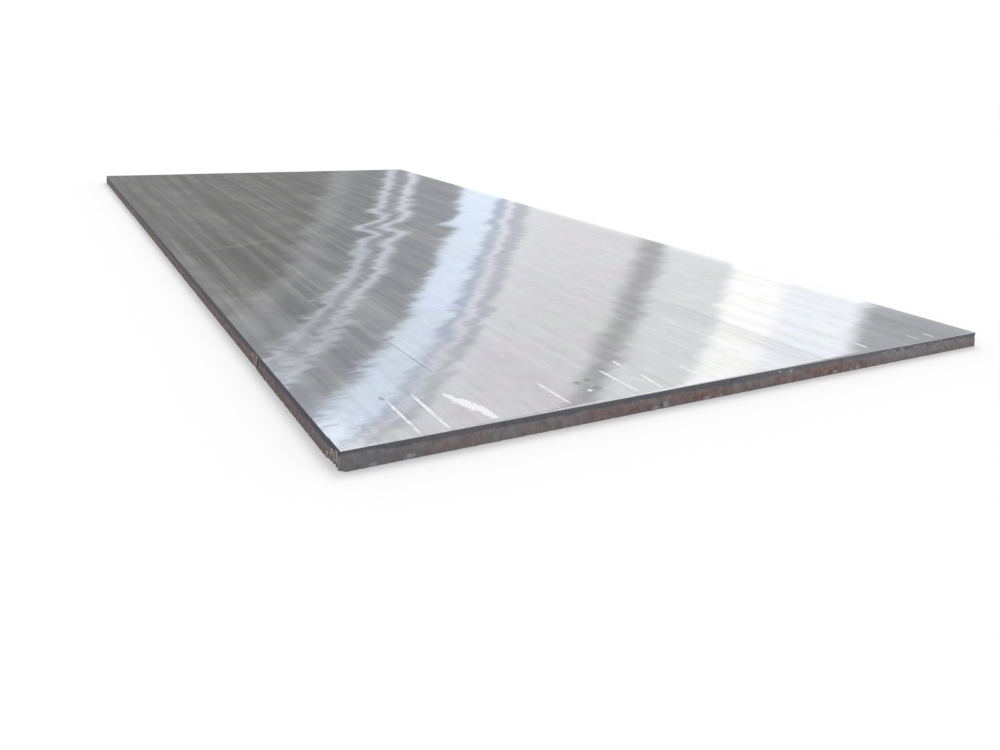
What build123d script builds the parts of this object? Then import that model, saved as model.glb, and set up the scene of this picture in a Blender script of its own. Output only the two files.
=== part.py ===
from build123d import *
import os

# Steel plate
#
# One heavy hot rolled plate, cut to size on a guillotine shear. It lies flat on its back
# face. X is the width, Y the length and Z the thickness. The origin is the middle of the
# resting face of the bounding box. Millimetres.

# Driving dimensions
width = 2000.0           # between the sheared walls of the two long edges
length = 4480.0          # between the sheared walls of the two short edges
thickness = 44.0         # after the top face was ground

# Section of a sheared edge, from the top face down
rollover_in = 3.6        # where the top face starts to bend down, in from the wall
rollover_drop = 2.0      # how far the blade drew the lip down
land_foot = 14.0         # foot of the burnished band, below the top face
flare = 3.5              # how far the broken zone runs out before the burr
flare_start = 7.0        # height over which the break first leaves the wall
lead_share = 0.6         # part of the flare reached where the break leaves the wall
bend_share = 0.7         # part of the flare reached where the break turns down again
bend_height = 15.5       # height of that turn above the back face
burr_out = 1.0           # burr at the back edge, out from the broken zone
burr_height = 2.4        # where the burr begins, above the back face
burr_tip = 0.5           # height of the burr's blunt tip

# Shear strokes. The blade is shorter than the plate, so each long edge is cut in several
# strokes that miss each other by a millimetre or two. Places along Y from the near end.
left_joints = (70.0, 656.0, 3137.0)
left_shifts = (-0.9, 0.5, -0.6, 1.1)
right_joints = (1420.0, 3900.0)
right_shifts = (0.4, -0.7, 0.6)

# Torn pockets where two strokes of the left edge meet: place along Y, length and depth.
# The first one lies beside the near corner.
tears = ((46.0, 84.0, 1.2), (656.0, 104.0, 2.6), (3137.0, 78.0, 2.0))
tear_lip = 5.0           # metal left over a torn pocket, under the top face
tear_lean = 2.2          # a pocket deepens towards the back face, degrees

# Torn near left corner: broken off more and more towards the back face
corner_top = 1.5         # cut back along each edge at the top face
corner_back = 6.0        # cut back along each edge at the back face

# Upright grooves that the break left on the long edge by the corner
ridge_count = 4
ridge_first = 12.0       # the first groove, from the near end
ridge_pitch = 17.0       # from groove to groove
ridge_closing = 0.06     # each pitch is shorter than the last by this share of it
ridge_depth = 1.6
ridge_fading = 0.3       # each groove is shallower than the last by this much
ridge_width = 9.0
ridge_top = 9.0          # a groove begins this far below the top face
ridge_stagger = 2.0      # every second groove begins this much lower
ridge_lean = 4.0         # a groove deepens towards the back face, degrees

# Steel, for the printed mass
density = 7.85           # kilograms per litre
cubic_mm_per_litre = 1e6

near = -length / 2
reach = flare + burr_out + 30.0   # the prisms below run this far past the plate's ends


def edge_profile(wall):
    """Points and curves of one sheared edge at X = wall, drawn from the top face down.

    wall is positive for the right hand edge; the left one is its mirror image."""
    top_start = (wall - rollover_in, thickness)
    lip = (wall, thickness)
    wall_top = (wall, thickness - rollover_drop)
    wall_foot = (wall, thickness - land_foot)
    break_lead = (wall + lead_share * flare, thickness - land_foot - flare_start)
    break_mid = (wall + bend_share * flare, bend_height)
    break_foot = (wall + flare, burr_height)
    burr_top = (wall + flare + burr_out, burr_tip)
    burr_foot = (wall + flare + burr_out, 0.0)
    return [
        Bezier(top_start, lip, wall_top),
        Line(wall_top, wall_foot),
        Bezier(wall_foot, break_lead, break_mid, break_foot),
        Line(break_foot, burr_top),
        Line(burr_top, burr_foot),
    ]


def section(left_wall, right_wall):
    """Closed face of the plate's cross section between two walls, in X and Z."""
    right = edge_profile(right_wall)
    left = [edge.mirror(Plane.YZ) for edge in edge_profile(left_wall)]
    top = Line((-left_wall + rollover_in, thickness), (right_wall - rollover_in, thickness))
    back_left = -left_wall - flare - burr_out
    back_right = right_wall + flare + burr_out
    back = Line((back_left, 0.0), (back_right, 0.0))
    return make_face(right + left + [top, back])


def prism_along_y(face, y_from, y_to):
    """The section drawn in X and Z, run from y_from to y_to."""
    upright = Plane(origin=(0, y_from, 0), x_dir=(1, 0, 0), z_dir=(0, -1, 0)) * face
    return extrude(upright, amount=y_to - y_from, dir=(0, 1, 0))


def stroke_spans(joints, shifts):
    """Start, end and sideways shift of each shear stroke along Y."""
    marks = [near - reach] + [near + joint for joint in joints] + [-near + reach]
    return [(marks[i], marks[i + 1], shifts[i]) for i in range(len(shifts))]


def long_body():
    """The plate as it leaves the side cuts: a prism for each stretch between two joints."""
    left = stroke_spans(left_joints, left_shifts)
    right = stroke_spans(right_joints, right_shifts)
    body = None
    for left_from, left_to, left_shift in left:
        for right_from, right_to, right_shift in right:
            y_from = max(left_from, right_from)
            y_to = min(left_to, right_to)
            if y_to <= y_from:
                continue
            face = section(width / 2 + left_shift, width / 2 + right_shift)
            piece = prism_along_y(face, y_from, y_to)
            body = piece if body is None else body + piece
    return body


def end_cutter():
    """The same section turned a quarter round: what the two short cuts leave."""
    face = section(length / 2, length / 2)
    upright = Plane(origin=(-width / 2 - reach, 0, 0), x_dir=(0, 1, 0), z_dir=(1, 0, 0)) * face
    return extrude(upright, amount=width + 2 * reach, dir=(1, 0, 0))


def torn_pocket(place, span, depth):
    """Shallow scoop that leans into the long edge at a joint of two strokes.

    It is part of a wide cylinder: radius = (half span squared + depth squared) / (2 depth)."""
    radius = ((span / 2) ** 2 + depth ** 2) / (2 * depth)
    tall = 2 * thickness
    scoop = Cylinder(radius, tall, align=(Align.CENTER, Align.CENTER, Align.MAX))
    scoop = Pos(-radius, 0, 0) * scoop
    scoop = Rot(0, tear_lean, 0) * scoop
    return Pos(-width / 2 + depth, near + place, thickness - tear_lip) * scoop


def corner_break():
    """Plane through the near left corner that cuts away the side facing out of the plate."""
    corner_x = -width / 2
    top = Vector(corner_x + corner_top, near, thickness)
    top_other = Vector(corner_x, near + corner_top, thickness)
    back = Vector(corner_x + corner_back, near, 0)
    inward = (top_other - top).cross(back - top)
    if inward.X < 0:
        inward = inward * -1
    return Plane(origin=top, z_dir=inward)


def corner_ridges():
    """Upright grooves between the ridges that the torn corner left on the long edge."""
    grooves = []
    for i in range(ridge_count):
        radius = ((ridge_width / 2) ** 2 + ridge_depth ** 2) / (2 * ridge_depth)
        place = near + ridge_first + i * ridge_pitch * (1 - ridge_closing * i)
        top_z = thickness - ridge_top - ridge_stagger * (i % 2)
        foot_x = -width / 2 - bend_share * flare + ridge_depth - ridge_fading * i
        groove = Cylinder(radius, 2 * thickness, align=(Align.CENTER, Align.CENTER, Align.MAX))
        groove = Pos(-radius, 0, 0) * groove
        groove = Rot(0, ridge_lean, 0) * groove
        grooves.append(Pos(foot_x, place, top_z) * groove)
    return grooves


def steel_plate():
    """The sheared plate with its torn pockets and broken corner, set on its resting face."""
    plate = long_body() & end_cutter()
    for place, span, depth in tears:
        plate = plate - torn_pocket(place, span, depth)
    for groove in corner_ridges():
        plate = plate - groove
    plate = split(plate, bisect_by=corner_break(), keep=Keep.TOP)
    box = plate.bounding_box()
    middle_x = (box.min.X + box.max.X) / 2
    middle_y = (box.min.Y + box.max.Y) / 2
    return Pos(-middle_x, -middle_y, -box.min.Z) * plate


plate = steel_plate()
plate.label = "steel_plate"
os.makedirs("parts", exist_ok=True)
export_step(plate, "parts/steel_plate.step")

box = plate.bounding_box()
print("solids", len(plate.solids()), "valid", plate.is_valid)
print("size", round(box.size.X, 2), round(box.size.Y, 2), round(box.size.Z, 2))
litres = plate.volume / cubic_mm_per_litre
print("volume in litres", round(litres, 2))
print("mass in kilograms", round(litres * density, 0))
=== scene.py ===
# %% [markdown]
# # A sheared steel plate
#
# The object is one heavy rolled plate: two metres wide, four and a half long and forty-four
# millimetres thick, ground bright along its length and cut on a guillotine shear. A flat
# slab like this is all surface. What makes it look real is how its ground face bends the
# light, and what the shear did to its edges. The lesson loads the CAD frame, sets up the
# camera, builds the plate's skin as one numpy mesh, and then spends its time on finishes.

# %% The frame and the tools
import math
import bpy
import numpy as np
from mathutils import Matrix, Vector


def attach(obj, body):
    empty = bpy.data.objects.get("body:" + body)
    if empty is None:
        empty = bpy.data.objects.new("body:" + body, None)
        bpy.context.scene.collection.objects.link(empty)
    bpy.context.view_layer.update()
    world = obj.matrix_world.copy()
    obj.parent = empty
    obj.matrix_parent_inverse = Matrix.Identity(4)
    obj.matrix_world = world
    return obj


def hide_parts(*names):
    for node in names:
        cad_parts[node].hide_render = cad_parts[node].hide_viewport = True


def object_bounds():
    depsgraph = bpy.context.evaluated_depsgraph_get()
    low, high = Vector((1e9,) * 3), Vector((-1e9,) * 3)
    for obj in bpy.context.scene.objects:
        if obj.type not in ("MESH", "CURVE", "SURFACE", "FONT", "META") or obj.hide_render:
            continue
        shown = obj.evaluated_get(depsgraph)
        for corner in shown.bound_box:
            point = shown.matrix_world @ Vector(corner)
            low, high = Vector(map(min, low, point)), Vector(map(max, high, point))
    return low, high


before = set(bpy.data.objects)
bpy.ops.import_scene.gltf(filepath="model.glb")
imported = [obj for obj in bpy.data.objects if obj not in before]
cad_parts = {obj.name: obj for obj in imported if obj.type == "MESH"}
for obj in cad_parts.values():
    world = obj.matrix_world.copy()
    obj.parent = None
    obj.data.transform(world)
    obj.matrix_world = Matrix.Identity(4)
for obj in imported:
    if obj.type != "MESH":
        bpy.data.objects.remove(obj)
cad_box = [list(map(float, corner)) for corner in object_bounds()]
print("CAD box in metres", cad_box)

# %% Sizes of the plate, in metres
width = 2.0              # between the sheared walls of the long edges
length = 4.48            # between the sheared walls of the short edges
thick = cad_box[1][2] - cad_box[0][2]
near = -length / 2
box_to_walls = 0.00025   # the box's middle is this far left of the middle between the walls
centre_x = (cad_box[0][0] + cad_box[1][0]) / 2 + box_to_walls
print("thickness", round(thick, 4), "near edge at", near)

# %% [markdown]
# ## Camera
#
# The plate's own corners give the camera: where its long edges meet on the horizon, and its
# short ones, fixes the lens and the tilt. The camera stands low, just past the near left
# corner, so the long edges rush away and the ground face is seen at a shallow angle.

# %% Camera
near_left = (centre_x - width / 2, near, thick)
camera_from_corner = (-0.4483, -1.3775, 0.6788)     # metres
camera_turn = (70.083, -1.995, -29.174)             # degrees about X, Y and Z
camera_data = bpy.data.cameras.new("camera")
camera_data.lens = 29.71
camera_data.sensor_width = 36.0


def add(name, data):
    """A new object of the scene."""
    item = bpy.data.objects.new(name, data)
    bpy.context.scene.collection.objects.link(item)
    return item


camera = add("camera", camera_data)
camera.location = [a + b for a, b in zip(near_left, camera_from_corner)]
camera.rotation_euler = [math.radians(angle) for angle in camera_turn]
bpy.context.scene.camera = camera
print("camera stands at", [round(v, 3) for v in camera.location])

# %% [markdown]
# ## The section of a sheared edge
#
# A guillotine first presses the plate, which draws the top lip round. The blade then cuts a
# smooth upright band, the land, and about a third of the way down the steel gives way and
# breaks. The broken zone leans outward to a small burr at the back face. Each column of the
# edge mesh is this section: a list of steps outward and down, with the foot of the land
# free to wander up and down along the edge, because a real break never runs straight.

# %% Section of the edge
rollover_in = 0.0036
rollover_drop = 0.0020
land_foot = 0.0140
flare = 0.0035
burr_out = 0.0010
burr_height = 0.0024
burr_tip = 0.0005
rim = 0.012              # where the edge mesh takes over from the face, in from the wall
break_step = 0.0006      # drop over which the land gives way to the break
break_power = 0.62       # under one, so that the break leaves the wall steeply
rollover_parts = (0.0, 0.35, 0.65, 0.88, 1.0)
break_shares = (0.02, 0.14, 0.30, 0.50, 0.72, 0.90, 1.0)


def section_rows(foot, lip):
    """Outward step and depth below the top face of each row of the edge mesh.

    foot is the depth of the land's foot and lip the burr's reach, one value a column. The
    rollover is part of a parabola: in = rollover_in * (1 - part) squared, down =
    rollover_drop * part squared. The break is a curve that ends at the burr: out = flare *
    share to the power break_power, with share the part of the way down."""
    flat = np.zeros_like(foot)
    rows = [(flat - rim, flat)]
    for part in rollover_parts:
        rows.append((flat - rollover_in * (1 - part) ** 2, flat + rollover_drop * part ** 2))
    rows.append((flat, (rollover_drop + foot) / 2))
    rows.append((flat, foot))
    burr_top = thick - burr_height
    for share in break_shares:
        down = foot + break_step + (burr_top - foot - break_step) * share
        rows.append((flat + flare * share ** break_power, down))
    rows.append((flare + lip, flat + (thick - burr_tip)))
    rows.append((flare + lip, flat + thick))
    rows.append((flat - rim, flat + thick))
    return rows


first_break_row = 1 + len(rollover_parts) + 2    # after the rim, the rollover and the land
print("the break begins at row", first_break_row)

# %% [markdown]
# ## Noise along a line and over a face
#
# Two helpers give seeded, smooth unevenness. Along the edge it has to close on itself after
# one trip round the plate, so it is a sum of whole-numbered sine waves. Over a face it is a
# sum of waves that run in every direction, like a swell on water.

# %% Smooth unevenness
perimeter = 2 * (width + length)
line_waves = 48
face_waves = 40
print("once round the plate is", round(perimeter, 2), "m")


def wander(distance, pitch, seed):
    """Uneven line round the plate, about one unit high, with bumps about pitch apart.

    It is the sum of line_waves sines, each with a whole number of periods near perimeter
    / pitch, divided by the square root of half their number."""
    draw = np.random.default_rng(seed)
    periods = np.rint(perimeter / pitch * draw.uniform(0.5, 1.6, line_waves))
    phases = draw.uniform(0, 2 * np.pi, line_waves)
    angle = 2 * np.pi * distance[:, None] / perimeter * periods[None, :] + phases
    return np.sin(angle).sum(axis=1) / math.sqrt(line_waves / 2)


def swell(x, y, pitch, seed):
    """Uneven face, about one unit high: the sum of face_waves waves of every direction,
    divided by the square root of half their number."""
    draw = np.random.default_rng(seed)
    heading = draw.uniform(0, np.pi, face_waves)
    number = 2 * np.pi / (pitch * draw.uniform(0.7, 1.6, face_waves))
    phases = draw.uniform(0, 2 * np.pi, face_waves)
    total = np.zeros_like(x)
    for i in range(face_waves):
        total += np.sin(number[i] * (x * np.cos(heading[i]) + y * np.sin(heading[i])) + phases[i])
    return total / math.sqrt(face_waves / 2)


def bump(value, middle, half):
    """A smooth hill of height one: (1 - share squared) squared within half of middle."""
    share = np.clip(np.abs(value - middle) / half, 0, 1)
    return (1 - share ** 2) ** 2


# %% [markdown]
# ## Strokes, tears and the broken corner
#
# The shear's blade is shorter than the plate, so a long edge takes several strokes. Where
# two strokes meet, the cut steps sideways by a millimetre and the steel tears: the land is
# lost and a shallow pocket with upright ridges is left. One such joint falls right by the
# near left corner, and broke it off at the bottom.

# %% Strokes and tears
left_joints = (0.070, 0.656, 3.137)                         # from the near end
left_shifts = (-0.0009, 0.0005, -0.0006, 0.0011)            # outward, one for each stroke
right_joints = (1.420, 3.900)
right_shifts = (0.0004, -0.0007, 0.0006)
tears = ((0.656, 0.104, 0.0026), (3.137, 0.078, 0.0020))    # place, length and depth
joint_run = 0.004        # a step between strokes is spread over this length
corner_top = 0.0015      # cut back along each edge at the top face
corner_back = 0.006      # cut back along each edge at the back face
print("strokes on the left", len(left_shifts), "and on the right", len(right_shifts))


def wall_shift(along, joints, shifts):
    """Sideways shift of a long wall: from stroke to stroke it takes a step, eased as
    share squared times (3 - 2 share), with share the part of joint_run passed."""
    total = np.full_like(along, shifts[0])
    for i, joint in enumerate(joints):
        share = np.clip((along - joint) / joint_run + 0.5, 0, 1)
        total += (shifts[i + 1] - shifts[i]) * share * share * (3 - 2 * share)
    return total


# %% [markdown]
# ## The plate's skin
#
# The mesh has a fine ring of columns five millimetres apart right round the edge, where the
# detail is, and coarse squares of twenty millimetres on the two faces. One strip of many-
# sided faces stitches four fine steps to one coarse one. Everything is worked out as whole
# arrays: a column's place round the plate gives its point on a unit square, and a row's
# outward step and depth move it from there.

# %% The ring of columns
column_step = 0.005
columns_x = round(width / column_step)
columns_y = round(length / column_step)
stitch = 4               # fine columns to one coarse square
coarse_x = columns_x // stitch
coarse_y = columns_y // stitch
calm_run = 0.03          # the edge's relief dies away over this distance from a corner
run_x = np.arange(columns_x) / columns_x
run_y = np.arange(columns_y) / columns_y
square_x = np.concatenate([2 * run_x - 1, np.ones(columns_y), 1 - 2 * run_x, -np.ones(columns_y)])
square_y = np.concatenate([-np.ones(columns_x), 2 * run_y - 1, np.ones(columns_x), 1 - 2 * run_y])
round_trip = np.concatenate([run_x * width, width + run_y * length, width + length + run_x * width,
                             2 * width + length + run_y * length])
columns = len(round_trip)
on_left = square_x <= -1
on_right = square_x >= 1
along_y = (square_y + 1) / 2 * length
corner_gap = np.maximum((1 - np.abs(square_x)) * width / 2, (1 - np.abs(square_y)) * length / 2)
calm = np.clip(corner_gap / calm_run, 0, 1)
print("columns round the plate", columns)

# %% [markdown]
# ## The uneven land and burr
#
# The land's foot wanders, rises where the steel tore, and lies deeper where the blade was
# sharp. The burr comes and goes. Each is a plain size with seeded waves and hills on top.

# %% Sizes of the unevenness, in metres
land_waves = ((0.0010, 0.090, 11), (0.0007, 0.016, 12))     # height, pitch and seed
burr_waves = ((0.35, 0.030, 13), (0.30, 0.010, 14))         # the same, as shares of the burr
mean_burr = 0.45
torn_land = 0.008        # the land is this much shallower in a torn place
left_land_extra = 0.003  # the blade cut that much deeper along the left edge
# distance round the plate, half length and extra depth; by the broken corner depth is lost
land_hills = ((1.08, 0.26, 0.0045), (0.02, 0.11, -0.0070))
land_limits = (0.0035, 0.021)


def uneven(base, waves):
    """Base plus one wandering line for each wave of (height, pitch, seed)."""
    total = base
    for height, pitch, seed in waves:
        total = total + height * wander(round_trip, pitch, seed)
    return total


# %% The uneven land and burr
foot = uneven(land_foot, land_waves)
lip = burr_out * np.clip(uneven(mean_burr, burr_waves), 0, 1)
for joint, span, depth in tears:
    foot -= on_left * torn_land * bump(along_y, joint, span / 2)
foot += on_left * calm * left_land_extra
for middle, half, extra in land_hills:
    foot += extra * bump(round_trip, middle, half)
foot = np.clip(foot, *land_limits)
rows = section_rows(foot, lip)
print("land from", round(foot.min() * 1000, 1), "to", round(foot.max() * 1000, 1), "mm deep")

# %% [markdown]
# ## The relief of the break
#
# The break's face is fibrous: upright ridges run down it, with finer dents between. Both
# are carved inward, so nothing stands out past the solid. The torn places are carved
# deeper, and beside the corner the tear left regular upright grooves.

# %% Sizes of the relief, in metres
dent_run = 0.004         # the dents reach full depth this far below the land
mean_dent = 0.0004
ridge_waves = ((0.00028, 0.014, 21), (0.00022, 0.045, 22))  # height, pitch and seed
dent_height = 0.00018
dent_pitch = 0.012
dent_seed = 30           # each row adds its own number
pocket_top = 0.005       # a torn pocket begins this far below the top face
pocket_run = 0.006       # and is full this much further down
pocket_share = 0.7       # the part of a pocket's depth that its smooth scoop takes
pocket_wave = (0.0007, 0.013, 23)
corner_tear = 0.040      # middle of the torn stretch by the corner, from the near end
corner_tear_half = 0.052
corner_tear_top = 0.006
corner_tear_run = 0.008
corner_tear_depth = 0.0034
groove_depth = 0.0016
groove_pitch = 0.017
print("deepest groove", corner_tear_depth + groove_depth, "m")


# %% Places of the edge's rows
def broken_relief(depth, row):
    """How far the break's face is dented inward at each column of a row, in metres.

    Upright ridges keep their place from row to row; finer dents change with each row. A
    pocket is a bump along the edge times a ramp down it; the grooves are a sine wave."""
    below = np.clip((depth - foot) / dent_run, 0, 1)
    ridges = uneven(0, ridge_waves)
    dents = dent_height * wander(round_trip, dent_pitch, dent_seed + row)
    relief = below * (mean_dent + ridges + dents)
    for joint, span, pocket in tears:
        ramp = np.clip((depth - pocket_top) / pocket_run, 0, 1)
        scoop = on_left * bump(along_y, joint, span / 2) * ramp
        relief = relief + scoop * uneven(pocket_share * pocket, (pocket_wave,))
    ramp = np.clip((depth - corner_tear_top) / corner_tear_run, 0, 1)
    torn = on_left * bump(along_y, corner_tear, corner_tear_half) * ramp
    grooves = corner_tear_depth + groove_depth * np.sin(along_y * 2 * np.pi / groove_pitch)
    return np.clip(relief + torn * grooves, 0, None)


def ring_points(step, depth, row):
    """X, Y and Z of one row: the wall's rectangle grown by step, plus shift and relief."""
    relief = np.zeros(columns)
    if first_break_row <= row < len(rows) - 1:
        relief = broken_relief(depth, row) * calm
    left = wall_shift(along_y, left_joints, left_shifts)
    right = wall_shift(along_y, right_joints, right_shifts)
    reach_left = width / 2 + left + step
    reach_right = width / 2 + right + step
    middle = (reach_right - reach_left) / 2
    half = (reach_right + reach_left) / 2
    side = on_left | on_right
    x = centre_x + middle + square_x * (half - np.where(side, relief, 0))
    y = square_y * (length / 2 + step - np.where(side, 0, relief))
    return x, y, thick - depth


sheet = np.array([ring_points(step, depth, row) for row, (step, depth) in enumerate(rows)])
ring = sheet.transpose(0, 2, 1)
print("edge rows", len(rows), "edge points", ring.shape[0] * ring.shape[1])

# %% The broken corner
corner = np.array([centre_x - width / 2, near, 0.0])
cut_a = corner + (corner_top, 0, thick)
cut_b = corner + (0, corner_top, thick)
cut_c = corner + (corner_back, 0, 0)
inward = np.cross(cut_b - cut_a, cut_c - cut_a)
inward = inward / np.linalg.norm(inward)
inward = inward if inward[0] > 0 else -inward
outside = np.clip((cut_a - ring) @ inward, 0, None)
ring = ring + outside[..., None] * inward
print("corner cut back by up to", round(outside.max() * 1000, 1), "mm")

# %% [markdown]
# ## The two faces
#
# A ground face feels flat, but its reflections show every tenth of a millimetre. So the top
# gets a gentle swell and three short dips that the leveller left past the middle. They fade
# out towards the back face, which stays flat.

# %% The two faces
leveller_dips = ((2.15, 0.0016, 0.11), (2.62, 0.0012, 0.13), (3.10, 0.0008, 0.14))
dip_fade = 0.55          # how far the dips reach to both sides of the middle
mean_dip = 0.0009
face_swells = ((0.00030, 0.90, 41), (0.00012, 0.28, 42))    # height, pitch and seed
fade_power = 4           # how fast the dips fade out on the way down to the back face


def face_grid(height):
    """Points of a coarse face grid inside the ring, row by row, at one height."""
    inset = 2 * rim
    x = np.linspace(-width / 2 + inset, width / 2 - inset, coarse_x + 1) + centre_x
    y = np.linspace(-length / 2 + inset, length / 2 - inset, coarse_y + 1)
    grid_x, grid_y = np.meshgrid(x, y)
    return np.stack([grid_x.ravel(), grid_y.ravel(), np.full(grid_x.size, height)], axis=1)


def hollow(x, y):
    """How far the top face dips below its highest level, in metres.

    Two swells, a long and a short one, are there everywhere. A dip of the leveller is its
    depth times a Gaussian in Y, with its place and spread, times a Gaussian in X."""
    rolls = 0
    for height, pitch, seed in face_swells:
        rolls = rolls + height * swell(x, y, pitch, seed)
    dips = 0
    for from_near, depth, spread in leveller_dips:
        over = np.exp(-(((y - near - from_near) / spread) ** 2) - ((x - centre_x) / dip_fade) ** 2)
        dips = dips + depth * over
    return np.clip(mean_dip + rolls + dips, 0, None)


top = face_grid(thick)
back = face_grid(0.0)
points = np.concatenate([ring.reshape(-1, 3), top, back])
share_up = np.clip(points[:, 2] / thick, 0, 1) ** fade_power
points[:, 2] -= share_up * hollow(points[:, 0], points[:, 1])
print("points", len(points))


# %% Faces of the mesh
def ring_quads():
    """Four corners of each edge face: along one row and back along the next one down."""
    here = np.arange(columns)
    after = (here + 1) % columns
    quads = []
    for row in range(len(rows) - 1):
        upper = row * columns
        lower = (row + 1) * columns
        quads.append(np.stack([upper + here, lower + here, lower + after, upper + after], axis=1))
    return np.concatenate(quads)


def grid_quads(start, upward):
    """Four corners of each square of a face grid, turned to face up or down."""
    i, j = np.meshgrid(np.arange(coarse_x), np.arange(coarse_y))
    first = start + (j * (coarse_x + 1) + i).ravel()
    quads = np.stack([first, first + 1, first + coarse_x + 2, first + coarse_x + 1], axis=1)
    return quads if upward else quads[:, ::-1]


def grid_border(start):
    """The grid's border points in the same order as the ring's columns."""
    bottom = np.arange(coarse_x)
    right = coarse_x + np.arange(coarse_y) * (coarse_x + 1)
    far = coarse_y * (coarse_x + 1) + coarse_x - np.arange(coarse_x)
    left = (coarse_y - np.arange(coarse_y)) * (coarse_x + 1)
    return start + np.concatenate([bottom, right, far, left])


def stitch_faces(row, border, upward):
    """Faces with stitch + 3 corners between a ring row and a grid's border."""
    count = len(border)
    fine = row * columns + (np.arange(count)[:, None] * stitch + np.arange(stitch + 1)) % columns
    coarse = np.stack([np.roll(border, -1), border], axis=1)
    faces = np.concatenate([fine, coarse], axis=1)
    return faces if upward else faces[:, ::-1]


top_start = len(rows) * columns
back_start = top_start + len(top)
edge_faces = ring_quads()
top_faces = grid_quads(top_start, True)
back_faces = grid_quads(back_start, False)
top_seam = stitch_faces(0, grid_border(top_start), True)
back_seam = stitch_faces(len(rows) - 1, grid_border(back_start), False)
print("edge", len(edge_faces), "top", len(top_faces), "back", len(back_faces))
print("seams", len(top_seam) + len(back_seam))

# %% Into Blender
face_list = []
for block in (edge_faces, top_faces, top_seam, back_faces, back_seam):
    face_list += block.tolist()
mesh = bpy.data.meshes.new("plate")
mesh.from_pydata(points.tolist(), [], face_list)
plate = add("plate", mesh)
triangles = sum(len(face) - 2 for face in face_list)
print("triangles", triangles)

# %% [markdown]
# ## Which face takes which finish, and how patterns find their way
#
# The faces are sorted into three finishes: ground top, sheared edge and mill-rolled back. A
# UV map unrolls the edge: its first number is the distance round the plate and its second
# the height, both in metres. On the two faces the map is simply X and Y. One more number,
# kept on each point, says how far it lies below the wandering foot of the land, so the
# material changes exactly where the shape does.

# %% Finish of each face
TOP, EDGE, BACK = 0, 1, 2
ground_rows = 3          # the grinding ran this many rows of faces down over the lip
row_of_face = np.arange(len(edge_faces)) // columns
edge_finish = np.where(row_of_face == len(rows) - 2, BACK, EDGE)
edge_finish = np.where(row_of_face < ground_rows, TOP, edge_finish)
finish = np.concatenate([edge_finish, np.full(len(top_faces) + len(top_seam), TOP),
                         np.full(len(back_faces) + len(back_seam), BACK)])
mesh.polygons.foreach_set("material_index", finish.astype(np.int32))
print("faces of each finish", np.bincount(finish).tolist())

# %% Unrolled map
corner_point = np.empty(len(mesh.loops), dtype=np.int32)
mesh.loops.foreach_get("vertex_index", corner_point)
map_u = points[corner_point, 0].copy()
map_v = points[corner_point, 1].copy()
edge_corners = 4 * len(edge_faces)
column_of = corner_point[:edge_corners] % columns
trip = round_trip[column_of]
wraps = (column_of == 0) & (np.repeat(np.arange(len(edge_faces)) % columns, 4) == columns - 1)
trip = np.where(wraps, perimeter, trip)
walled = np.repeat(finish[:len(edge_faces)] == EDGE, 4)
map_u[:edge_corners] = np.where(walled, trip, map_u[:edge_corners])
map_v[:edge_corners] = np.where(walled, points[corner_point[:edge_corners], 2], map_v[:edge_corners])
unrolled = mesh.uv_layers.new(name="unrolled")
unrolled.data.foreach_set("uv", np.stack([map_u, map_v], axis=1).astype(np.float32).ravel())
print("the map runs to", round(map_u.max(), 2), "round the plate")

# %% Depth below the land, kept on each point
crease = math.radians(38)               # a sharper turn between faces stays a sharp line
below_land = np.zeros(len(points))
depths = np.array([depth for step, depth in rows])
below_land[:top_start] = ((depths - foot) * 1000).ravel()
keeper = mesh.attributes.new("below_land", "FLOAT", "POINT")
keeper.data.foreach_set("value", below_land.astype(np.float32))
mesh.polygons.foreach_set("use_smooth", np.ones(len(mesh.polygons), dtype=bool))
mesh.set_sharp_from_angle(angle=crease)
mesh.update()
print("below the land, in mm:", round(below_land.min(), 1), "to", round(below_land.max(), 1))

# %% [markdown]
# ## Small helpers for node trees
#
# A finish is a chain of nodes. These helpers make one node each and hand back the socket
# that comes out of it, so that a chain reads like a sum.

# %% Node helpers
def feed(tree, source, target):
    """Link a socket to target, or write a plain value into it."""
    if isinstance(source, bpy.types.NodeSocket):
        tree.links.new(source, target)
    else:
        target.default_value = source


def calc(tree, operation, first, second=0.0, third=0.0):
    """One Math node."""
    item = tree.nodes.new("ShaderNodeMath")
    item.operation = operation
    for value, socket in zip((first, second, third), item.inputs):
        feed(tree, value, socket)
    return item.outputs[0]


def times(tree, first, second):
    """First times second."""
    return calc(tree, "MULTIPLY", first, second)


def times_plus(tree, value, factor, base):
    """Value times factor, plus base."""
    return calc(tree, "MULTIPLY_ADD", value, factor, base)


def less(tree, first, second):
    """First less second."""
    return calc(tree, "SUBTRACT", first, second)


def larger(tree, first, second):
    """The larger of first and second."""
    return calc(tree, "MAXIMUM", first, second)


def remap(tree, value, low, high, to_low=0.0, to_high=1.0):
    """Map Range: low..high becomes to_low..to_high, eased at both ends."""
    item = tree.nodes.new("ShaderNodeMapRange")
    item.interpolation_type = "SMOOTHSTEP"
    for number, socket in zip((value, low, high, to_low, to_high), item.inputs):
        feed(tree, number, socket)
    return item.outputs[0]


def tint(tree, share, first, second, how="MIX"):
    """Mix two colours; how is the blend type. Its colours are sockets 6, 7 and out 2."""
    item = tree.nodes.new("ShaderNodeMix")
    item.data_type = "RGBA"
    item.blend_type = how
    feed(tree, share, item.inputs[0])
    feed(tree, first, item.inputs[6])
    feed(tree, second, item.inputs[7])
    return item.outputs[2]


def noise(tree, vector, scale, detail, rough):
    """One Noise Texture, scale bumps to each unit of vector; gives its value socket."""
    item = tree.nodes.new("ShaderNodeTexNoise")
    feed(tree, vector, item.inputs["Vector"])
    item.inputs["Scale"].default_value = scale
    item.inputs["Detail"].default_value = detail
    item.inputs["Roughness"].default_value = rough
    return item.outputs[0]


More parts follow.
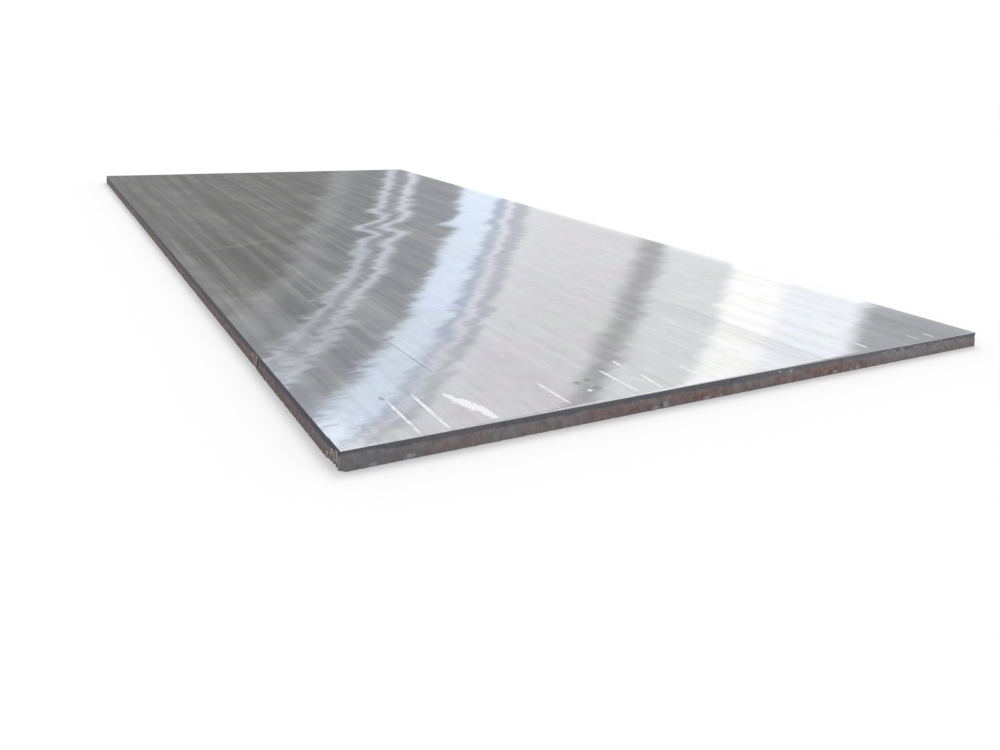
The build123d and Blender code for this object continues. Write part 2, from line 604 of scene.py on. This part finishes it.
def stretch(tree, vector, x, y, z):
    """Multiply a vector by a size for each axis; sockets or numbers."""
    size = tree.nodes.new("ShaderNodeCombineXYZ")
    for number, socket in zip((x, y, z), size.inputs):
        feed(tree, number, socket)
    item = tree.nodes.new("ShaderNodeVectorMath")
    item.operation = "MULTIPLY"
    feed(tree, vector, item.inputs[0])
    tree.links.new(size.outputs[0], item.inputs[1])
    return item.outputs[0]


def axes_of(tree, vector):
    """X, Y and Z of a vector."""
    item = tree.nodes.new("ShaderNodeSeparateXYZ")
    tree.links.new(vector, item.inputs[0])
    return item.outputs


def per(tree, vector, size):
    """A vector divided by one size."""
    share = calc(tree, "DIVIDE", 1.0, size)
    return stretch(tree, vector, share, share, share)


def raised(tree, height, distance, below=None):
    """Bump: turns a height in units of distance, in metres, into a normal."""
    item = tree.nodes.new("ShaderNodeBump")
    item.inputs["Distance"].default_value = distance
    feed(tree, height, item.inputs["Height"])
    if below is not None:
        tree.links.new(below, item.inputs["Normal"])
    return item.outputs[0]


def grey(value, warm=0.0):
    """A grey as red, green, blue and alpha; warm tips it from blue to yellow."""
    return (value * (1 + warm), value, value * (1 - warm), 1.0)


# %% Group helper
def new_group(name, numbers, outputs):
    """An empty node group that takes a Vector and numbers, given as label and value.

    outputs gives each output's label and kind."""
    tree = bpy.data.node_groups.new(name, "ShaderNodeTree")
    tree.interface.new_socket("Vector", in_out="INPUT", socket_type="NodeSocketVector")
    for label, value in numbers.items():
        socket = tree.interface.new_socket(label, in_out="INPUT", socket_type="NodeSocketFloat")
        socket.default_value = value
    for label, kind in outputs.items():
        tree.interface.new_socket(label, in_out="OUTPUT", socket_type="NodeSocket" + kind)
    return tree, tree.nodes.new("NodeGroupInput").outputs, tree.nodes.new("NodeGroupOutput").inputs


def place(tree, group, **values):
    """Put a group in a tree, feed its inputs by name and give back its outputs."""
    item = tree.nodes.new("ShaderNodeGroup")
    item.node_tree = group
    for label, value in values.items():
        feed(tree, value, item.inputs[label.replace("_", " ")])
    return item.outputs


# %% [markdown]
# ## Effects shared by several finishes
#
# Four effects come back in more than one finish, so each is a node group with named
# sockets: lines drawn out along one axis, cloudy patches, rust, and a single rubbed or
# scratched mark. A group hands out only masks and colours; the shader stays outside.

# %% Group of drawn-out lines
tree, given, result = new_group("drawn lines", {"Spacing": 0.004, "Reach": 0.6}, {"Lines": "Float"})
per_spacing = calc(tree, "DIVIDE", 1.0, given["Spacing"])
per_reach = calc(tree, "DIVIDE", 1.0, given["Reach"])
drawn = stretch(tree, given["Vector"], per_spacing, per_reach, 0.0)
tree.links.new(noise(tree, drawn, 1.0, 3.0, 0.65), result["Lines"])
lines_group = tree
print("lines take", len(tree.nodes), "nodes")


def drawn_lines(tree, vector, spacing, reach):
    """Lines that lie spacing apart and run for about reach."""
    return place(tree, lines_group, Vector=vector, Spacing=spacing, Reach=reach)[0]


# %% Group of cloudy patches
tree, given, result = new_group(
    "cloudy patches", {"Size": 0.2, "Low": 0.4, "High": 0.6}, {"Mask": "Float"})
cloud = noise(tree, per(tree, given["Vector"], given["Size"]), 1.0, 4.0, 0.6)
tree.links.new(remap(tree, cloud, given["Low"], given["High"]), result["Mask"])
patch_group = tree
print("patches take", len(tree.nodes), "nodes")


def patches(tree, vector, size, low, high):
    """Patches about size across; the noise between low and high is their fringe."""
    return place(tree, patch_group, Vector=vector, Size=size, Low=low, High=high)[0]


# %% Group of rust
rust_dark = (0.150, 0.098, 0.086, 1)
rust_pale = (0.275, 0.184, 0.158, 1)
fringe_half = 0.10       # half the width of a patch's faded fringe, in units of the noise
tree, given, result = new_group(
    "rust", {"Size": 0.03, "Amount": 0.5}, {"Color": "Color", "Mask": "Float"})
scaled = per(tree, given["Vector"], given["Size"])
cover = noise(tree, scaled, 1.0, 5.0, 0.62)
limit = less(tree, 0.82, times(tree, given["Amount"], 0.6))
low = less(tree, limit, fringe_half)
high = calc(tree, "ADD", limit, fringe_half)
fringe = remap(tree, cover, low, high)
shade = noise(tree, scaled, 3.1, 3.0, 0.6)
brown = tint(tree, remap(tree, shade, 0.35, 0.65), rust_dark, rust_pale)
tree.links.new(brown, result["Color"])
tree.links.new(fringe, result["Mask"])
rust_group = tree
print("rust takes", len(tree.nodes), "nodes")

# %% [markdown]
# ### One mark
#
# A mark is a soft-edged shape round its middle: (away in X / half width) squared, plus (away
# in Y / half length) to the fourth power, so its ends are blunt. Where that sum, made
# ragged by noise, is small, the mask is one. Lean slides the shape sideways along its
# length, and fray says how ragged it is.

# %% Group of one mark
sizes = {"Middle X": 0.0, "Middle Y": 0.0, "Half width": 0.003, "Half length": 0.05}
tree, given, result = new_group("one mark", {**sizes, "Lean": 0.0, "Fray": 0.5}, {"Mask": "Float"})
axes = axes_of(tree, given["Vector"])
away_y = less(tree, axes[1], given["Middle Y"])
lean = times(tree, away_y, given["Lean"])
away_x = less(tree, less(tree, axes[0], given["Middle X"]), lean)
across = calc(tree, "POWER", calc(tree, "DIVIDE", away_x, given["Half width"]), 2.0)
along = calc(tree, "POWER", calc(tree, "DIVIDE", away_y, given["Half length"]), 2.0)
away = times_plus(tree, along, along, across)
ragged = less(tree, noise(tree, given["Vector"], 150.0, 4.0, 0.7), 0.5)
away = times_plus(tree, ragged, given["Fray"], away)
tree.links.new(remap(tree, away, 0.35, 1.05, 1.0, 0.0), result["Mask"])
mark_group = tree
print("groups", [group.name for group in bpy.data.node_groups])


# %% Start of a finish
def new_finish(name, metallic, roughness):
    """A material with one Principled shader; gives it, its tree, shader and coordinates."""
    material = bpy.data.materials.new(name)
    material.use_nodes = True
    tree = material.node_tree
    shader = tree.nodes["Principled BSDF"]
    shader.inputs["Metallic"].default_value = metallic
    shader.inputs["Roughness"].default_value = roughness
    coords = tree.nodes.new("ShaderNodeTexCoord")
    return material, tree, shader, coords.outputs


def plug(tree, label, source):
    """Link a socket to the shader's input of that name."""
    tree.links.new(source, tree.nodes["Principled BSDF"].inputs[label])


# %% Marks from a list
def marks(tree, vector, places, left=0.0, front=0.0):
    """The strongest of several marks; each place is x, y, half width, half length, lean, fray.

    x counts from left and y from front."""
    strongest = 0.0
    for x, y, half_width, half_length, lean, fray in places:
        mask = place(tree, mark_group, Vector=vector, Middle_X=left + x, Middle_Y=front + y, Lean=lean,
                     Half_width=half_width, Half_length=half_length, Fray=fray)[0]
        strongest = larger(tree, strongest, mask)
    return strongest


# %% [markdown]
# ## The ground top
#
# Grinding leaves fine grooves along the plate. They spread a reflection out sideways but
# keep it sharp along the grain, so a window becomes a long bright band across the plate.
# That is what the shader's anisotropy does, with the tangent laid across the grooves. The
# bands wobble because the face is not quite flat: rolling left shallow dimples a hand's
# breadth wide, less than a millimetre deep. On top come streaks of finer and coarser grit,
# thin films of dust that show where the reflection is dark, and a trace of green and
# purple. Use left the rest: stains, dull strips, dark spots, dust by the near left corner,
# a curved scuff, and bright scratches where things were dragged over the near end.

# %% Marks on the top face
from_left = centre_x - width / 2
scratches = (
    # from the left wall, from the near edge, half width, half length, lean, fray
    (0.174, 0.105, 0.0044, 0.104, 0.02, 1.2),
    (0.239, 0.113, 0.0058, 0.116, 0.02, 1.2),
    (0.541, 0.098, 0.0052, 0.082, 0.0, 1.0),
    (0.731, 0.1, 0.0062, 0.086, 0.0, 0.9),
    (0.804, 0.066, 0.005, 0.052, 0.1, 1.1),
    (0.803, 0.195, 0.0045, 0.036, 0.1, 1.1),
    (0.943, 0.096, 0.0055, 0.032, 0.05, 1.1),
    (1.548, 0.055, 0.006, 0.026, 0.02, 1.1),
    (1.765, 0.046, 0.0038, 0.022, 0.0, 1.3),
    (1.83, 0.04, 0.004, 0.025, 0.0, 1.3),
)
rubs = (
    # three overlapping marks make the white patch that bends, and the last is a small speck
    (0.315, 0.166, 0.009, 0.03, -0.25, 3.0),
    (0.331, 0.112, 0.02, 0.052, -0.3, 3.4),
    (0.346, 0.062, 0.014, 0.046, -0.06, 3.4),
    (0.629, 0.074, 0.008, 0.007, 0.0, 3.0),
)
dirt = (
    # dark spots and lines, in the same order
    (0.171, 0.222, 0.007, 0.013, 0.0, 2.5),
    (0.342, 0.474, 0.003, 0.16, -0.03, 1.8),
    (0.361, 0.633, 0.009, 0.01, 0.0, 4.0),
    (0.628, 0.126, 0.0085, 0.011, 0.0, 6.0),
    (0.655, 0.082, 0.01, 0.013, 0.2, 6.0),
    (0.662, 0.136, 0.008, 0.01, 0.0, 6.0),
    (0.027, 0.125, 0.019, 0.004, 0.0, 3.2),
)
dusty = ((0.03, 0.085, 0.08, 0.105, 0.0, 1.6),)
scuffs = (
    # a long curved one beyond the middle, as two straight halves
    (0.196, 1.988, 0.07, 0.044, 2.6, 1.8),
    (0.33, 2.052, 0.06, 0.048, 1.9, 1.8),
)
worn_paths = (
    # dull strips where the plate was walked or dragged on
    (1.313, 0.3, 0.06, 0.42, 0.0, 1.2),
    (1.86, 0.09, 0.15, 0.17, 0.0, 2.6),
)
print("scratches", len(scratches), "dark spots", len(dirt))

# %% Ground top: grain and clouds
ground, tree, shader, coords = new_finish("ground_top", 1.0, 0.2)
spot = coords["Object"]
shader.inputs["Anisotropic"].default_value = 1.0
tangent = tree.nodes.new("ShaderNodeTangent")
tangent.direction_type = "UV_MAP"
tangent.uv_map = "unrolled"
plug(tree, "Tangent", tangent.outputs[0])
fine = drawn_lines(tree, spot, 0.0022, 0.35)
tracks = drawn_lines(tree, spot, 0.016, 1.1)
passes = drawn_lines(tree, spot, 0.040, 3.0)
clouds = patches(tree, spot, 0.55, 0.30, 0.72)
stains = patches(tree, spot, 0.22, 0.52, 0.75)
films = drawn_lines(tree, spot, 0.050, 2.4)
tinge = patches(tree, spot, 0.16, 0.35, 0.65)
print("nodes:", len(tree.nodes))

# %% Ground top: colour of the steel
greenish = (0.972, 1.0, 0.958, 1)
purplish = (1.0, 0.972, 1.012, 1)
grain = calc(tree, "ADD", times(tree, fine, 0.25), times(tree, tracks, 0.75))
steel = tint(tree, remap(tree, grain, 0.30, 0.70), grey(0.63), grey(0.70))
steel = tint(tree, remap(tree, passes, 0.35, 0.65, 0.0, 0.55), steel, grey(0.57, 0.01))
steel = tint(tree, times(tree, stains, 0.30), steel, grey(0.50, 0.02))
mottle = noise(tree, stretch(tree, spot, 38.0, 13.0, 0.0), 1.0, 4.0, 0.65)
steel = tint(tree, remap(tree, mottle, 0.36, 0.64), steel, grey(0.925), "MULTIPLY")
steel = tint(tree, tinge, steel, greenish, "MULTIPLY")
steel = tint(tree, less(tree, 1.0, tinge), steel, purplish, "MULTIPLY")
from_wall = less(tree, width / 2, calc(tree, "ABSOLUTE", axes_of(tree, spot)[0]))
steel = tint(tree, remap(tree, from_wall, 0.07, 0.02, 0.0, 0.8), steel, grey(0.78, -0.01))
print("nodes:", len(tree.nodes))

# %% Ground top: marks and dust
spot_colour = (0.16, 0.16, 0.18, 1)
worn = marks(tree, spot, worn_paths, from_left, near)
worn = times(tree, worn, remap(tree, tracks, 0.35, 0.60))
steel = tint(tree, times(tree, worn, 0.45), steel, grey(0.40))
dirty = marks(tree, spot, dirt, from_left, near)
steel = tint(tree, times(tree, dirty, 0.60), steel, spot_colour)
patchy = remap(tree, noise(tree, spot, 45.0, 3.0, 0.6), 0.34, 0.58, 0.35, 1.0)
speckle = remap(tree, noise(tree, spot, 60.0, 5.0, 0.7), 0.42, 0.62)
dust = times(tree, marks(tree, spot, dusty, from_left, near), speckle)
steel = tint(tree, times(tree, dust, 0.55), steel, grey(0.88))
bare = times(tree, marks(tree, spot, scratches, from_left, near), patchy)
bare = larger(tree, bare, marks(tree, spot, rubs, from_left, near))
steel = tint(tree, bare, steel, grey(0.98))
plug(tree, "Base Color", steel)
print("nodes:", len(tree.nodes))

# %% Ground top: shine
dull = times_plus(tree, tracks, 0.08, 0.06)
dull = times_plus(tree, clouds, 0.03, dull)
dull = larger(tree, dull, times(tree, bare, 0.6))
plug(tree, "Roughness", dull)
film_share = times_plus(tree, tinge, 0.5, 0.5)
films = times(tree, remap(tree, films, 0.38, 0.65, 0.0, 0.34), film_share)
haze = times_plus(tree, clouds, 0.05, films)
haze = times_plus(tree, dust, 0.40, haze)
scuffed = times(tree, marks(tree, spot, scuffs, from_left, near), patchy)
haze = times_plus(tree, scuffed, 0.15, haze)
haze = larger(tree, haze, times(tree, dirty, 0.5))
haze = larger(tree, haze, bare)
plug(tree, "Metallic", less(tree, 1.0, haze))
print("nodes:", len(tree.nodes))

# %% Ground top: relief
dimple_depth = 0.0008
flutter_depth = 0.00005
grain_depth = 0.00002
restless = patches(tree, spot, 0.30, 0.30, 0.70)
restless = times_plus(tree, restless, 0.9, 0.5)
dimples = less(tree, noise(tree, spot, 8.0, 2.0, 0.45), 0.5)
dimples = times(tree, dimples, restless)
flutter = drawn_lines(tree, spot, 0.070, 0.020)
bent = raised(tree, dimples, dimple_depth)
bent = raised(tree, flutter, flutter_depth, bent)
bent = raised(tree, fine, grain_depth, bent)
plug(tree, "Normal", bent)
print("ground top has", len(tree.nodes), "nodes")

# %% [markdown]
# ## The sheared edge
#
# Two finishes meet at the wandering foot of the land. Above it the steel is burnished: dark
# blue-grey, fairly smooth, scored upright by the blade. Below it the break is coarse and
# fibrous, and it has rusted brown, with pale crushed spots near the bottom and a painted
# highlight along the burr. The kept number below_land tells them apart, roughened a little
# by noise so that the border is ragged at a finer scale than the mesh. Lists hold what
# differs from place to place: chips, a flaked stretch, two stretches rubbed pale, painted
# shade over the left edge, painted highlights on the ribs and painted shade in the clefts
# where it tore, and a fresh bluish tear beside the broken corner.

# %% Crushed spots and scars
chips = (
    # round the plate from the near left corner, height, half width, half height, lean, fray
    (0.066, 0.004, 0.009, 0.005, 0.5, 6.5),
    (0.146, 0.005, 0.013, 0.007, 0.6, 6.5),
    (0.766, 0.005, 0.011, 0.0045, 0.5, 4.5),
    (0.797, 0.0085, 0.009, 0.008, 0.0, 4.5),
    (0.923, 0.005, 0.01, 0.0055, 0.6, 4.5),
    (0.971, 0.0035, 0.006, 0.005, 0.0, 4.5),
    (1.17, 0.035, 0.007, 0.003, 0.0, 4.5),
    (1.212, 0.031, 0.005, 0.005, 0.0, 4.5),
    (1.382, 0.007, 0.01, 0.005, 0.4, 4.5),
    (1.444, 0.0045, 0.007, 0.005, 0.0, 4.5),
    (1.47, 0.005, 0.008, 0.006, 0.0, 4.5),
)
# towards the right end the edge is flaked over a long stretch, higher up at first
flaked_end = (
    (1.66, 0.032, 0.11, 0.011, 0.0, 1.0),
    (1.83, 0.024, 0.13, 0.015, 0.0, 1.0),
)
rib_highlight_places = (
    # painted highlights on the ribs that stand up in the torn places of the left edge
    (12.951, 0.016, 0.0034, 0.015, 0.16, 3.6),
    (12.934, 0.023, 0.007, 0.016, 0.3, 4.4),
    (12.916, 0.014, 0.0036, 0.011, -0.12, 4.0),
    (12.899, 0.018, 0.006, 0.009, 0.35, 4.6),
    (12.883, 0.009, 0.005, 0.006, 0.3, 4.6),
    (12.312, 0.021, 0.009, 0.015, 0.3, 4.6),
    (12.288, 0.014, 0.006, 0.011, -0.2, 4.6),
    (12.268, 0.024, 0.007, 0.008, 0.2, 4.6),
    (9.818, 0.019, 0.009, 0.013, 0.3, 4.6),
)
rust_zones = (
    # long stretches of the break that rusted more: the near edge's middle and the left edge
    (1.05, 0.012, 0.56, 0.026, 0.0, 0.6),
    (10.7, 0.012, 2.4, 0.026, 0.0, 0.6),
)
rubbed_pale = (
    # two stretches of the near edge, the second one along its lip
    (1.56, 0.022, 0.62, 0.034, 0.0, 0.8),
    (1.86, 0.036, 0.33, 0.03, 0.0, 0.8),
)
# the left edge darkened with painted shade, and the fresh tear by the broken corner, which has not
# rusted yet
left_shade_places = ((10.7, 0.012, 2.7, 0.032, 0.0, 0.6),)
bluish = ((0.06, 0.02, 0.14, 0.034, 0.0, 0.8),)
scars = (
    # torn places of the left edge, rusted right through, in the same order
    (12.93, 0.02, 0.009, 0.017, 0.0, 1.6),
    (12.898, 0.018, 0.007, 0.016, 0.0, 1.6),
    (12.304, 0.019, 0.042, 0.018, 0.0, 3.5),
    (9.823, 0.019, 0.034, 0.016, 0.0, 3.5),
)
cleft_shade_places = (
    # painted shade in the gaps between the ridges of the torn places
    (12.943, 0.02, 0.0046, 0.016, 0.2, 3.0),
    (12.924, 0.016, 0.006, 0.015, 0.25, 3.4),
    (12.908, 0.02, 0.0034, 0.012, 0.0, 3.0),
    (12.89, 0.013, 0.0044, 0.008, 0.3, 3.4),
    (12.326, 0.019, 0.008, 0.014, 0.2, 3.6),
    (12.299, 0.017, 0.006, 0.013, 0.0, 3.6),
    (9.833, 0.018, 0.007, 0.012, 0.2, 3.6),
)
print("chips", len(chips), "rib_highlight_places", len(rib_highlight_places), "cleft_shade_places", len(cleft_shade_places))

# %% Sheared edge: the border of land and break
sheared, tree, shader, coords = new_finish("sheared_edge", 1.0, 0.5)
unroll = coords["UV"]
shader.inputs["Specular Tint"].default_value = (0.50, 0.50, 0.56, 1)
kept = tree.nodes.new("ShaderNodeAttribute")
kept.attribute_name = "below_land"
upright = stretch(tree, unroll, 1.0, 0.12, 1.0)
fray = less(tree, noise(tree, upright, 260.0, 3.0, 0.7), 0.5)
below = times_plus(tree, fray, 13.0, kept.outputs["Fac"])
broken = remap(tree, below, -2.2, 3.0)
print("nodes:", len(tree.nodes))

# %% Sheared edge: colour of the land
land_dark = (0.085, 0.086, 0.102, 1)
land_pale = (0.140, 0.142, 0.160, 1)
land_cloud = (0.165, 0.158, 0.160, 1)
land_rubbed = (0.235, 0.228, 0.240, 1)
score = drawn_lines(tree, unroll, 0.0030, 0.05)
fibre = drawn_lines(tree, unroll, 0.0060, 0.02)
cloudy = patches(tree, unroll, 0.16, 0.35, 0.65)
blot = patches(tree, unroll, 0.022, 0.35, 0.70)
crushed = patches(tree, unroll, 0.045, 0.48, 0.66)
rust = place(tree, rust_group, Vector=unroll, Size=0.052, Amount=0.70)
land = tint(tree, remap(tree, score, 0.3, 0.7), land_dark, land_pale)
land = tint(tree, times(tree, cloudy, 0.35), land, land_cloud)
paler = times_plus(tree, crushed, 0.4, 0.3)
paler = times(tree, marks(tree, unroll, rubbed_pale), paler)
land = tint(tree, paler, land, land_rubbed)
print("nodes:", len(tree.nodes))

# %% Sheared edge: colour of the break
torn_dark = (0.215, 0.204, 0.210, 1)
torn_pale = (0.325, 0.310, 0.317, 1)
torn_blot = (0.125, 0.112, 0.120, 1)
torn_crushed = (0.330, 0.325, 0.350, 1)
torn_rubbed = (0.345, 0.325, 0.325, 1)
left_shade_colour = (0.085, 0.075, 0.076, 1)
fresh_pale = (0.235, 0.240, 0.250, 1)
fresh_blot = (0.165, 0.165, 0.160, 1)
torn = tint(tree, remap(tree, fibre, 0.25, 0.75), torn_dark, torn_pale)
torn = tint(tree, times(tree, blot, 0.50), torn, torn_blot)
torn = tint(tree, times(tree, crushed, 0.55), torn, torn_crushed)
torn = tint(tree, times(tree, paler, 0.75), torn, torn_rubbed)
# painted shade: the break along the left edge is darkened to stand in for shade
torn = tint(tree, times(tree, marks(tree, unroll, left_shade_places), 0.60), torn, left_shade_colour)
clean = times(tree, marks(tree, unroll, bluish), 0.75)
torn = tint(tree, clean, torn, tint(tree, blot, fresh_pale, fresh_blot))
zone = times_plus(tree, marks(tree, unroll, rust_zones), 0.42, 0.20)
zone = times(tree, zone, less(tree, 1.0, clean))
rusty = times(tree, rust[1], times_plus(tree, cloudy, 0.35, zone))
rusty = times(tree, rusty, remap(tree, below, 0.5, 7.0, 0.35, 1.0))
rusty = larger(tree, rusty, times(tree, marks(tree, unroll, scars), 0.7))
torn = tint(tree, rusty, torn, rust[0])
print("nodes:", len(tree.nodes))

# %% Sheared edge: chips, painted shade in the clefts, painted highlights on the ribs and burr
chip_colour = (0.36, 0.38, 0.42, 1)
cleft_shade_colour = (0.030, 0.026, 0.025, 1)
rib_highlight_colour = (0.430, 0.380, 0.340, 1)
burr_highlight_colour = (0.30, 0.28, 0.30, 1)
skin = tint(tree, broken, land, torn)
chipped = marks(tree, unroll, chips)
flakes = noise(tree, stretch(tree, unroll, 45.0, 110.0, 0.0), 1.0, 5.0, 0.68)
flakes = remap(tree, flakes, 0.49, 0.60)
flaked = times(tree, marks(tree, unroll, flaked_end), flakes)
chipped = larger(tree, chipped, times(tree, flaked, 0.75))
skin = tint(tree, times(tree, chipped, 0.8), skin, chip_colour)
# painted shade: the clefts between the torn ridges are darkened where shade falls
painted_cleft_shade = marks(tree, unroll, cleft_shade_places)
skin = tint(tree, times(tree, painted_cleft_shade, 0.85), skin, cleft_shade_colour)
# painted highlight: the torn ribs are made pale where light catches their ridges
painted_rib_highlight = marks(tree, unroll, rib_highlight_places)
skin = tint(tree, times(tree, painted_rib_highlight, 0.72), skin, rib_highlight_colour)
# painted highlight: a pale line along the bottom of the edge stands in for the light that the burr
# catches
near_back = times_plus(tree, fray, 0.004, axes_of(tree, unroll)[1])
painted_burr_highlight = remap(tree, near_back, 0.0034, 0.0018)
skin = tint(tree, times(tree, painted_burr_highlight, 0.45), skin, burr_highlight_colour)
plug(tree, "Base Color", skin)
print("nodes:", len(tree.nodes))

# %% Sheared edge: shine and relief
torn_relief = 0.0012
score_relief = 0.0005
dull = times(tree, broken, times_plus(tree, rusty, 0.5, 0.4))
dull = larger(tree, dull, times(tree, larger(tree, painted_rib_highlight, painted_cleft_shade), 0.8))
plug(tree, "Metallic", less(tree, 1.0, dull))
matt = times_plus(tree, broken, 0.24, times_plus(tree, score, 0.2, 0.32))
plug(tree, "Roughness", matt)
rough_face = times(tree, noise(tree, unroll, 420.0, 4.0, 0.6), broken)
cut = raised(tree, rough_face, torn_relief)
cut = raised(tree, score, score_relief, cut)
plug(tree, "Normal", cut)
print("sheared edge has", len(tree.nodes), "nodes")

# %% [markdown]
# ## The back
#
# Nobody grinds the face a plate lies on. It keeps the blue-grey scale of the rolling mill,
# with lighter roller lines along its length and rust coming through in patches.

# %% Mill back
scale_dark = (0.060, 0.064, 0.072, 1)
scale_pale = (0.105, 0.110, 0.122, 1)
scale_worn = (0.20, 0.205, 0.21, 1)
pit_depth = 0.0008
milled, tree, _, coords = new_finish("mill_back", 0.6, 0.55)
spot = coords["Object"]
lines = drawn_lines(tree, spot, 0.010, 0.9)
worn = patches(tree, spot, 0.30, 0.40, 0.70)
rust = place(tree, rust_group, Vector=spot, Size=0.10, Amount=0.42)
scale = tint(tree, remap(tree, lines, 0.3, 0.7), scale_dark, scale_pale)
scale = tint(tree, times(tree, worn, 0.5), scale, scale_worn)
scale = tint(tree, rust[1], scale, rust[0])
plug(tree, "Base Color", scale)
matt = times_plus(tree, rust[1], 0.3, times_plus(tree, lines, 0.2, 0.35))
plug(tree, "Roughness", matt)
pitted = raised(tree, noise(tree, spot, 160.0, 4.0, 0.6), pit_depth)
plug(tree, "Normal", pitted)
for material in (ground, sheared, milled):
    mesh.materials.append(material)
print("finishes", [material.name for material in mesh.materials])

# %% The plate stands for its solid
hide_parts("steel_plate")
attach(plate, "root")

# %% [markdown]
# ## Floor
#
# A wide pale floor, lit evenly, runs into a backdrop of the same brightness, so no horizon
# shows. The lamp and the sky stay at a plain level for the plate. What the floor lacks to
# white is a faint glow of its own that only camera, mirrored and transmitted rays can see.
# It shows in the plate's reflections but doesn't light it, and the shadow stays.

# %% Levels of light
sky_level = 0.72
lamp_energy = 0.9
lamp_tilt = math.radians(40)
floor_grey = 0.93
floor_lit = floor_grey * (sky_level + lamp_energy * math.cos(lamp_tilt) / math.pi)
floor_glow = 1.0 - floor_lit
print("light alone brings the floor to", round(floor_lit, 3))

# %% Floor
reach = 400.0            # so far that its end is lost in the backdrop
floor_gap = 0.0005       # the floor lies this far under the plate, so the two never mix
floor_corners = [(-reach, -reach, 0), (reach, -reach, 0), (reach, reach, 0), (-reach, reach, 0)]
floor_mesh = bpy.data.meshes.new("floor")
floor_mesh.from_pydata(floor_corners, [], [(0, 1, 2, 3)])
floor = add("floor", floor_mesh)
floor.location = (0, 0, -floor_gap)
pale, tree, shader, _ = new_finish("pale_floor", 0.0, 0.9)
shader.inputs["Base Color"].default_value = grey(floor_grey)
shader.inputs["Specular IOR Level"].default_value = 0.0
rays = tree.nodes.new("ShaderNodeLightPath").outputs
seen = larger(tree, rays["Is Camera Ray"], rays["Is Glossy Ray"])
seen = larger(tree, seen, rays["Is Transmission Ray"])
shader.inputs["Emission Color"].default_value = grey(1.0)
plug(tree, "Emission Strength", times(tree, seen, floor_glow))
floor_mesh.materials.append(pale)
print("floor glow", round(floor_glow, 3))

# %% [markdown]
# ## Light
#
# Everything but the reflections is plain: an even white sky and one broad soft lamp. For
# the reflections the studio has tall light banks and grey walls. The grain smears each of
# them into a band whose place depends on one thing only, the angle to the grind lines. So
# the banks are written as arches round that direction, each from so many degrees on to
# where the next one begins. Only mirrored rays see them, so matt surfaces get none of it.

# %% Lamp
lamp_turn = math.radians(140)
lamp_softness = math.radians(30)
lamp_data = bpy.data.lights.new("soft_lamp", "SUN")
lamp_data.energy = lamp_energy
lamp_data.angle = lamp_softness
lamp = add("soft_lamp", lamp_data)
lamp.rotation_euler = (lamp_tilt, 0, lamp_turn)
lamp.visible_glossy = False
print("lamp energy", lamp_energy, "and sky level", sky_level)

# %% Arches of light
along_grind = grey(0.235, 0.005)        # what lies inside the first arch
arches = (
    # begins at, softness (both in degrees from the grind lines), colour
    (19.2, 0.5, (0.37125, 0.375, 0.37875)),
    (20.6, 0.5, (0.29585, 0.305, 0.31415)),
    (22.6, 0.15, (0.76, 0.80, 0.89)),
    (23.15, 0.15, (0.37, 0.38, 0.42)),
    (24.05, 0.15, (0.89, 0.94, 1.02)),
    (24.6, 0.45, (0.375, 0.385, 0.415)),
    (27.8, 0.4, (0.97, 1.09, 1.27)),
    (30.2, 0.2, (0.60, 0.66, 0.80)),
    (31.0, 0.2, (1.00, 1.04, 1.12)),
    (31.5, 0.2, (0.64, 0.66, 0.73)),
    (32.5, 0.3, (0.96, 0.97, 1.02)),
    (33.7, 0.7, (0.94, 0.935, 0.97)),
    (40.4, 0.7, (0.54, 0.54, 0.56)),
    (42.1, 0.6, (0.99, 1.02, 1.04)),
    (46.8, 0.5, (1.44, 1.44, 1.44)),
    (50.4, 0.6, (1.25, 1.29, 1.37)),
    (55.4, 0.7, (0.535, 0.555, 0.585)),
    (64.0, 1.5, (0.80, 0.81, 0.83)),
)
print("arches of light", len(arches))

# %% Studio
world = bpy.data.worlds.new("studio")
world.use_nodes = True
bpy.context.scene.world = world
tree = world.node_tree
tree.nodes.clear()
heading = tree.nodes.new("ShaderNodeTexCoord").outputs["Generated"]
lengthwise = calc(tree, "ABSOLUTE", axes_of(tree, heading)[1])
angle = calc(tree, "DEGREES", calc(tree, "ARCCOSINE", lengthwise))
glow = along_grind
for start, soft, colour in arches:
    glow = tint(tree, remap(tree, angle, start - soft, start + soft), glow, (*colour, 1))
rays = tree.nodes.new("ShaderNodeLightPath").outputs
sky = tint(tree, rays["Is Glossy Ray"], grey(sky_level), glow)
white = larger(tree, rays["Is Camera Ray"], rays["Is Transmission Ray"])
sky = tint(tree, white, sky, grey(1.0))
background = tree.nodes.new("ShaderNodeBackground")
tree.links.new(sky, background.inputs["Color"])
background.inputs["Strength"].default_value = 1.0
output = tree.nodes.new("ShaderNodeOutputWorld")
tree.links.new(background.outputs[0], output.inputs["Surface"])
bpy.context.scene.view_settings.view_transform = "Standard"
print("world has", len(tree.nodes), "nodes")
